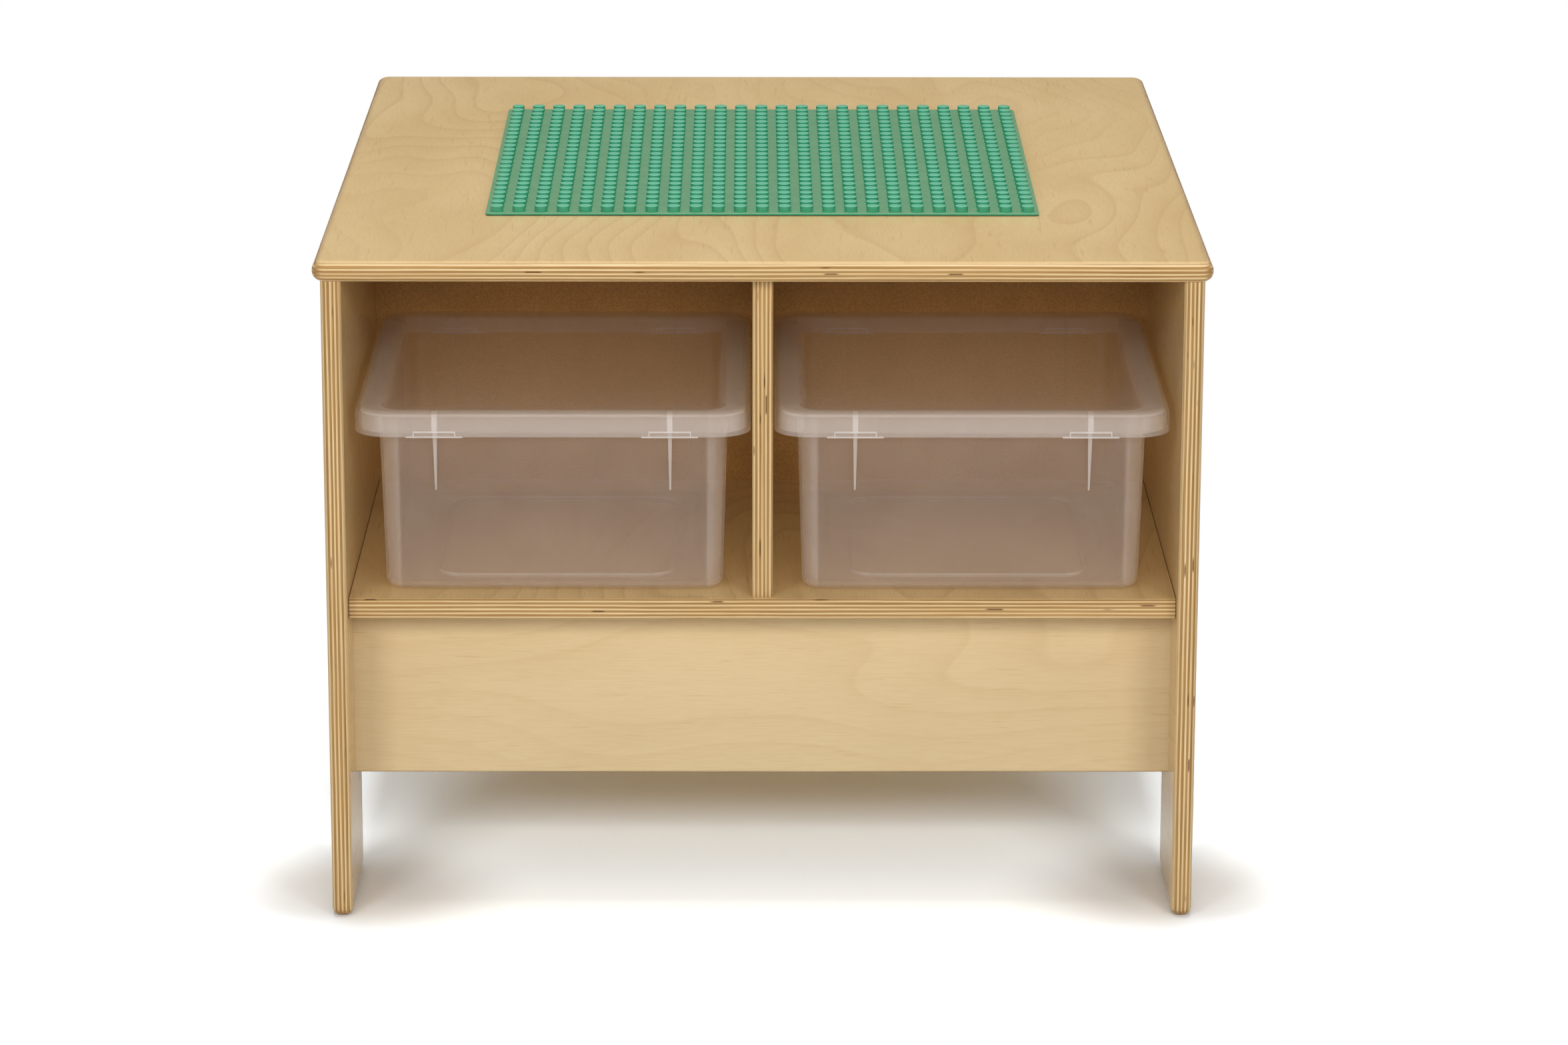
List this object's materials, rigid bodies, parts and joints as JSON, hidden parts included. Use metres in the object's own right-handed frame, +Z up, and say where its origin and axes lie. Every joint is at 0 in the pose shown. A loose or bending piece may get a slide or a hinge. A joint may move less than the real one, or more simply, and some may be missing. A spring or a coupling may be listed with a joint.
{
  "type": "building block table",
  "caption": "Low plywood play table with a green studded building plate on top, arched side panels for legs and a divided shelf that holds lidded translucent tubs.",
  "frame": {"origin": "on the floor under the middle of the top", "axes": "+Z up, +X to the right of someone facing the front, the front faces -Y"},
  "size_m": [0.628, 0.715, 0.4885],
  "materials": {
    "birch_plywood": "birch plywood in clear satin lacquer, plies showing at the edges",
    "dowel_wood": "bare beech",
    "hardboard": "smooth brown hardboard",
    "plate_plastic": "moulded green plastic, semi-gloss",
    "tub_plastic": "milky translucent polypropylene",
    "lid_plastic": "milky translucent polypropylene, clearer on the flat"
  },
  "bodies": {
    "table": {"table_top": "birch_plywood", "left_side_panel": "birch_plywood", "right_side_panel": "birch_plywood", "shelf": "birch_plywood", "front_divider": "birch_plywood", "rear_divider": "birch_plywood", "front_apron": "birch_plywood", "rear_apron": "birch_plywood", "center_panel": "hardboard", "baseplate": "plate_plastic", "top_dowels": "dowel_wood", "shelf_dowels": "dowel_wood", "apron_dowels": "dowel_wood", "divider_dowels": "dowel_wood"},
    "front_left_tub": {"front_left_tub": "tub_plastic"},
    "front_left_lid": {"front_left_lid": "lid_plastic"},
    "front_right_tub": {"front_right_tub": "tub_plastic"},
    "front_right_lid": {"front_right_lid": "lid_plastic"},
    "rear_left_tub": {"rear_left_tub": "tub_plastic"},
    "rear_left_lid": {"rear_left_lid": "lid_plastic"},
    "rear_right_tub": {"rear_right_tub": "tub_plastic"},
    "rear_right_lid": {"rear_right_lid": "lid_plastic"}
  },
  "joints": [
    {"name": "front_left_tub_slide", "type": "slide", "parent": "table", "child": "front_left_tub", "axis": [0, -1, 0], "range_m": [0, 0.345]},
    {"name": "front_left_lid_lift", "type": "slide", "parent": "front_left_tub", "child": "front_left_lid", "axis": [0, 0, 1], "range_m": [0, 0.09]},
    {"name": "front_right_tub_slide", "type": "slide", "parent": "table", "child": "front_right_tub", "axis": [0, -1, 0], "range_m": [0, 0.345]},
    {"name": "front_right_lid_lift", "type": "slide", "parent": "front_right_tub", "child": "front_right_lid", "axis": [0, 0, 1], "range_m": [0, 0.09]},
    {"name": "rear_left_tub_slide", "type": "slide", "parent": "table", "child": "rear_left_tub", "axis": [0, 1, 0], "range_m": [0, 0.345]},
    {"name": "rear_left_lid_lift", "type": "slide", "parent": "rear_left_tub", "child": "rear_left_lid", "axis": [0, 0, 1], "range_m": [0, 0.09]},
    {"name": "rear_right_tub_slide", "type": "slide", "parent": "table", "child": "rear_right_tub", "axis": [0, 1, 0], "range_m": [0, 0.345]},
    {"name": "rear_right_lid_lift", "type": "slide", "parent": "rear_right_tub", "child": "rear_right_lid", "axis": [0, 0, 1], "range_m": [0, 0.09]}
  ]
}
